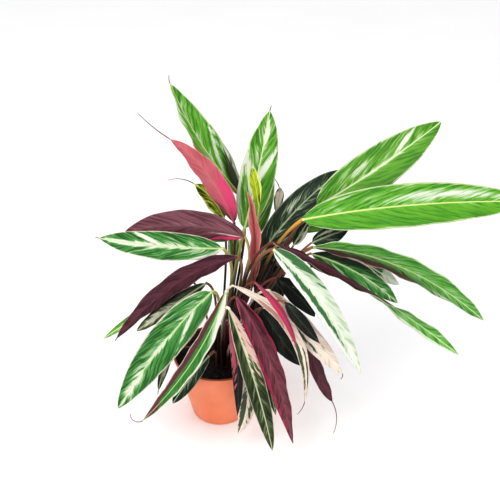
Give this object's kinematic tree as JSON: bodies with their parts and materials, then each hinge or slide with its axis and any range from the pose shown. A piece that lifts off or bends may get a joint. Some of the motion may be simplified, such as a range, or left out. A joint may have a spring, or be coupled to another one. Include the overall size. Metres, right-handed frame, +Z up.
{
  "type": "potted stromanthe",
  "caption": "House plant with long green, cream and pink blades on slender stems, growing from soil in a round tapered terracotta-coloured nursery pot.",
  "frame": {"origin": "centre of the pot's flat foot, on the surface it stands on", "axes": "+Z up along the pot's axis; -Y is the side that the picture shows; +X is the right of that side, where the longest leaf points"},
  "size_m": [0.5856, 0.2725, 0.5268],
  "materials": {
    "pot_plastic": "moulded, slightly matt",
    "potting_soil": "loose and rough",
    "leaf_green": "waxy, semi-gloss",
    "leaf_dark_green": "waxy, semi-gloss",
    "leaf_lime": "waxy, semi-gloss",
    "leaf_cream": "waxy, semi-gloss",
    "leaf_pink": "satin underside",
    "leaf_crimson": "satin underside",
    "leaf_maroon": "satin underside"
  },
  "bodies": {
    "root": {"pot": "pot_plastic", "soil": "potting_soil", "leaf_tall_left": "leaf_green", "leaf_pink_upper_left": "leaf_pink", "leaf_olive_left": "leaf_lime", "leaf_purple_left": "leaf_maroon", "leaf_green_left": "leaf_green", "leaf_maroon_left": "leaf_maroon", "leaf_striped_left": "leaf_dark_green", "leaf_green_lower_left": "leaf_green", "leaf_narrow_lower_left": "leaf_green", "leaf_dark_by_pot": "leaf_dark_green", "leaf_small_striped_left": "leaf_dark_green", "leaf_tall_centre": "leaf_green", "leaf_lime_new": "leaf_lime", "leaf_pink_spike": "leaf_pink", "leaf_dark_upper_right": "leaf_dark_green", "leaf_bright_upper_right": "leaf_green", "leaf_largest_right": "leaf_green", "leaf_dark_under_right": "leaf_dark_green", "leaf_dark_small_right": "leaf_dark_green", "leaf_green_drooping_right": "leaf_green", "leaf_dark_green_right": "leaf_green", "leaf_pale_behind_right": "leaf_cream", "leaf_maroon_green_right": "leaf_maroon", "leaf_pale_right": "leaf_cream", "leaf_dark_pink_edge": "leaf_dark_green", "leaf_cream_drape": "leaf_cream", "leaf_crimson_strip": "leaf_crimson", "leaf_cream_striped_right": "leaf_cream", "leaf_dark_maroon_right": "leaf_maroon", "leaf_black_right": "leaf_dark_green", "leaf_maroon_hanging_right": "leaf_maroon", "leaf_black_front": "leaf_dark_green", "leaf_crimson_hanging": "leaf_crimson", "leaf_striped_hanging_front": "leaf_green", "leaf_pink_hanging": "leaf_crimson", "leaf_cream_hanging": "leaf_cream", "leaf_olive_hanging": "leaf_green", "leaf_grey_behind": "leaf_dark_green", "leaf_small_behind_crown": "leaf_green", "leaf_dark_inner": "leaf_dark_green", "leaf_back_centre": "leaf_green", "leaf_back_right": "leaf_green", "leaf_back_left": "leaf_green", "leaf_back_far_right": "leaf_green", "leaf_green_tip_left": "leaf_green", "leaf_dark_behind_pale": "leaf_dark_green", "leaf_back_low": "leaf_dark_green"}
  },
  "joints": []
}
